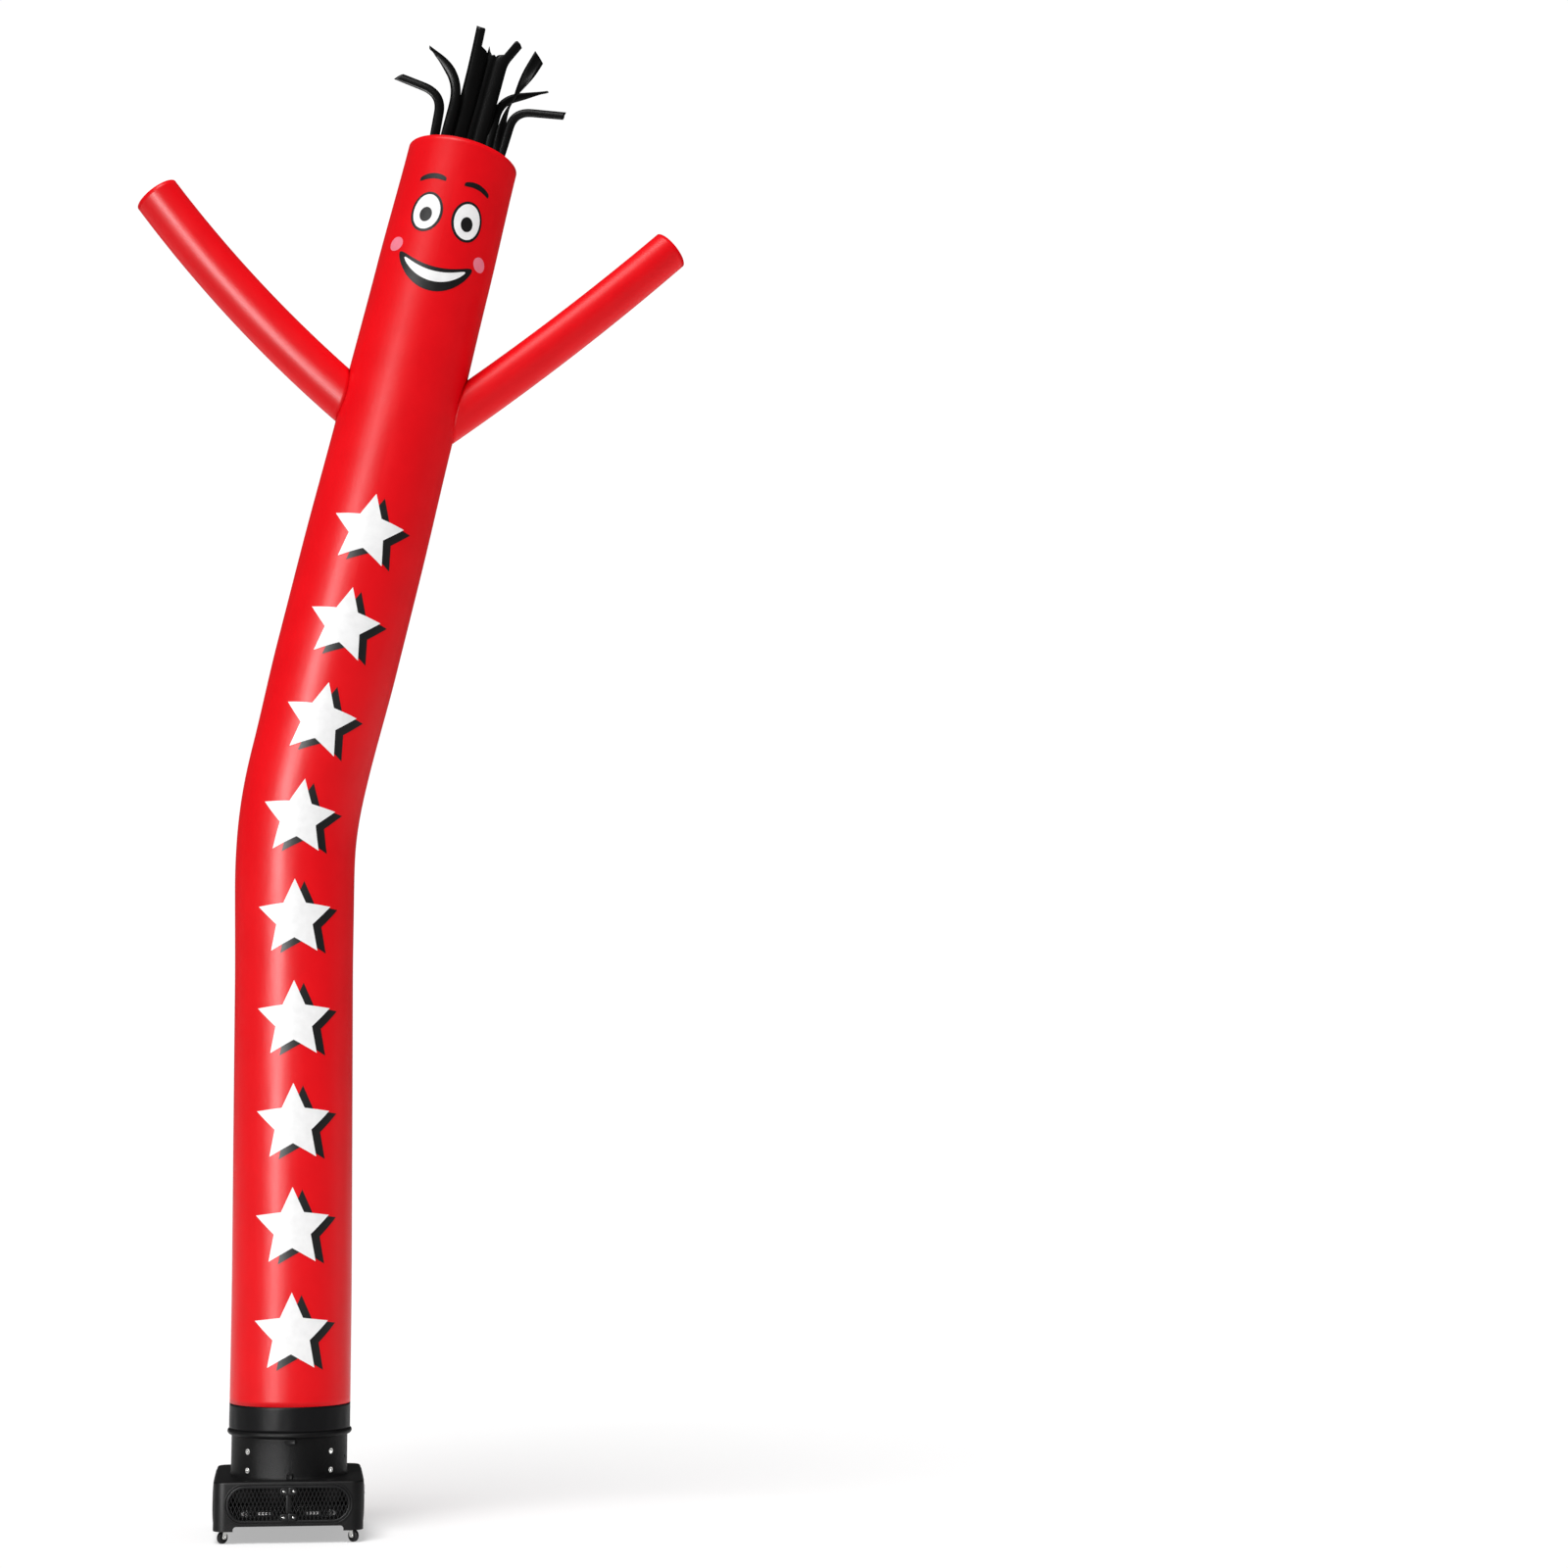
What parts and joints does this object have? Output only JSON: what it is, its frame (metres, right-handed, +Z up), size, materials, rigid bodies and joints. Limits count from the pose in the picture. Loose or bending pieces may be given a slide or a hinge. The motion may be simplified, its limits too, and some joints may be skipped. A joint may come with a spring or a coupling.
{
  "type": "inflatable air dancer on its blower",
  "caption": "Tall cloth tube with two arms and ribbon hair, standing full of air on a square blower with castors; it leans and sways to draw the eye.",
  "frame": {"origin": "on the floor, under the middle of the whole part's bounding box", "axes": "+Z up; the dancer's front looks along -Y; +X to the right of someone who faces it"},
  "size_m": [2.2772, 0.5746, 6.2637],
  "materials": {
    "red_nylon": "coated ripstop nylon, soft sheen",
    "black_nylon": "coated nylon, satin",
    "ribbon_nylon": "light nylon ribbon, soft sheen",
    "hook_tape": "woven hook tape, matte",
    "black_plastic": "moulded, fine pebble grain",
    "collar_plastic": "moulded, coarse pebble grain",
    "guard_plastic": "moulded, satin",
    "tyre_black": "satin",
    "zinc_steel": "bright zinc",
    "switch_red": "gloss",
    "clear_cover": "clear, gloss",
    "motor_iron": "black enamel",
    "lead_black": "matte",
    "white_ink": "satin",
    "black_ink": "satin",
    "pink_ink": "satin"
  },
  "bodies": {
    "root": {"body_tube": "red_nylon", "arm_left": "red_nylon", "arm_right": "red_nylon", "cuff": "black_nylon", "hair": "ribbon_nylon", "housing": "black_plastic", "collar": "collar_plastic", "collar_tape": "hook_tape", "top_guard": "guard_plastic", "floor_plate": "black_plastic", "motor": "motor_iron", "grille_front": "guard_plastic", "grille_right": "guard_plastic", "grille_back": "guard_plastic", "grille_left": "guard_plastic", "lug_front_upper": "guard_plastic", "lug_front_lower": "guard_plastic", "lug_back_upper": "guard_plastic", "lug_back_lower": "guard_plastic", "tab_upper": "guard_plastic", "tab_lower": "guard_plastic", "switch_panel": "black_plastic", "switch_frame": "guard_plastic", "switch_cover": "clear_cover", "lead_gland": "guard_plastic", "lead": "lead_black", "lead_socket": "guard_plastic"},
    "swivel_front_left": {"castor_front_left_fork": "zinc_steel", "castor_front_left_axle": "zinc_steel"},
    "wheel_front_left": {"castor_front_left_wheel": "tyre_black"},
    "lever_front_left": {"brake_front_left": "zinc_steel"},
    "swivel_front_right": {"castor_front_right_fork": "zinc_steel", "castor_front_right_axle": "zinc_steel"},
    "wheel_front_right": {"castor_front_right_wheel": "tyre_black"},
    "lever_front_right": {"brake_front_right": "zinc_steel"},
    "swivel_back_left": {"castor_back_left_fork": "zinc_steel", "castor_back_left_axle": "zinc_steel"},
    "wheel_back_left": {"castor_back_left_wheel": "tyre_black"},
    "swivel_back_right": {"castor_back_right_fork": "zinc_steel", "castor_back_right_axle": "zinc_steel"},
    "wheel_back_right": {"castor_back_right_wheel": "tyre_black"},
    "rocker": {"switch_rocker": "switch_red"}
  },
  "joints": [
    {"name": "front_left_swivel", "type": "hinge", "parent": "root", "child": "swivel_front_left", "pos_m": [-0.6715, -0.235, 0.0586], "axis": [0, 0, 1], "continuous": true},
    {"name": "front_left_roll", "type": "hinge", "parent": "swivel_front_left", "child": "wheel_front_left", "pos_m": [-0.67998, -0.24349, 0.02207], "axis": [-0.7071, 0.7071, 0], "continuous": true},
    {"name": "front_left_brake", "type": "hinge", "parent": "swivel_front_left", "child": "lever_front_left", "pos_m": [-0.68437, -0.23146, 0.04157], "axis": [-0.7071, -0.7071, 0], "range_deg": [0, 20]},
    {"name": "front_right_swivel", "type": "hinge", "parent": "root", "child": "swivel_front_right", "pos_m": [-0.2015, -0.235, 0.0586], "axis": [0, 0, 1], "continuous": true},
    {"name": "front_right_roll", "type": "hinge", "parent": "swivel_front_right", "child": "wheel_front_right", "pos_m": [-0.19301, -0.24349, 0.02207], "axis": [-0.7071, -0.7071, 0], "continuous": true},
    {"name": "front_right_brake", "type": "hinge", "parent": "swivel_front_right", "child": "lever_front_right", "pos_m": [-0.18863, -0.23146, 0.04157], "axis": [-0.7071, 0.7071, 0], "range_deg": [0, 20]},
    {"name": "back_left_swivel", "type": "hinge", "parent": "root", "child": "swivel_back_left", "pos_m": [-0.6715, 0.235, 0.0586], "axis": [0, 0, 1], "continuous": true},
    {"name": "back_left_roll", "type": "hinge", "parent": "swivel_back_left", "child": "wheel_back_left", "pos_m": [-0.67998, 0.24349, 0.02207], "axis": [0.7071, 0.7071, 0], "continuous": true},
    {"name": "back_right_swivel", "type": "hinge", "parent": "root", "child": "swivel_back_right", "pos_m": [-0.2015, 0.235, 0.0586], "axis": [0, 0, 1], "continuous": true},
    {"name": "back_right_roll", "type": "hinge", "parent": "swivel_back_right", "child": "wheel_back_right", "pos_m": [-0.19301, 0.24349, 0.02207], "axis": [0.7071, -0.7071, 0], "continuous": true},
    {"name": "switch", "type": "hinge", "parent": "root", "child": "rocker", "pos_m": [-0.1585, 0.115, 0.1435], "axis": [0, -1, 0], "range_deg": [0, 10]}
  ]
}
